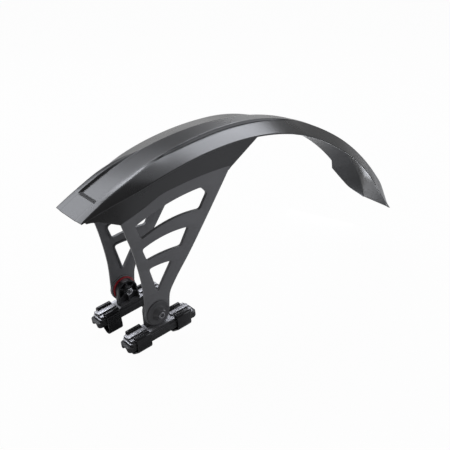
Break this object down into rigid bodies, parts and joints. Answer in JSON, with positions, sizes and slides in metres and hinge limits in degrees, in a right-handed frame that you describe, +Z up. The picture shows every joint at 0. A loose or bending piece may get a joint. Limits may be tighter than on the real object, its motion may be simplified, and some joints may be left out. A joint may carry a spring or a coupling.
{
  "type": "bicycle mudguard",
  "caption": "Long arched rear mudguard blade with pierced side legs, each leg bolted at a pivot to a padded clamp shoe that straps round a seat stay.",
  "frame": {"origin": "under the middle of the whole set, on the level of its lowest point", "axes": "+X rearwards along the bicycle, +Y to the rider's right, +Z up"},
  "size_m": [0.602, 0.112, 0.2896],
  "materials": {
    "guard_plastic": "satin",
    "cap_plastic": "satin",
    "shoe_plastic": "satin",
    "pad_rubber": "matte",
    "strap_rubber": "glossy",
    "red_plastic": "satin",
    "bolt_steel": "satin",
    "nut_steel": "bright"
  },
  "bodies": {
    "mudguard": {"guard": "guard_plastic", "left_leg": "guard_plastic", "left_cap": "cap_plastic", "left_bolt": "bolt_steel", "left_nut": "nut_steel", "right_leg": "guard_plastic", "right_cap": "cap_plastic", "right_bolt": "bolt_steel", "right_nut": "nut_steel"},
    "left_clamp": {"left_shoe": "shoe_plastic", "left_ring": "red_plastic", "left_pad": "pad_rubber", "left_front_strap": "strap_rubber", "left_rear_strap": "strap_rubber"},
    "right_clamp": {"right_shoe": "shoe_plastic", "right_ring": "red_plastic", "right_pad": "pad_rubber", "right_front_strap": "strap_rubber", "right_rear_strap": "strap_rubber"}
  },
  "joints": [
    {"name": "left_clamp_pivot", "type": "hinge", "parent": "mudguard", "child": "left_clamp", "pos_m": [-0.20117, -0.0345, 0.05909], "axis": [0, 1, 0], "range_deg": [-50, 50]},
    {"name": "right_clamp_pivot", "type": "hinge", "parent": "mudguard", "child": "right_clamp", "pos_m": [-0.20117, 0.0345, 0.05909], "axis": [0, 1, 0], "range_deg": [-50, 50]}
  ]
}
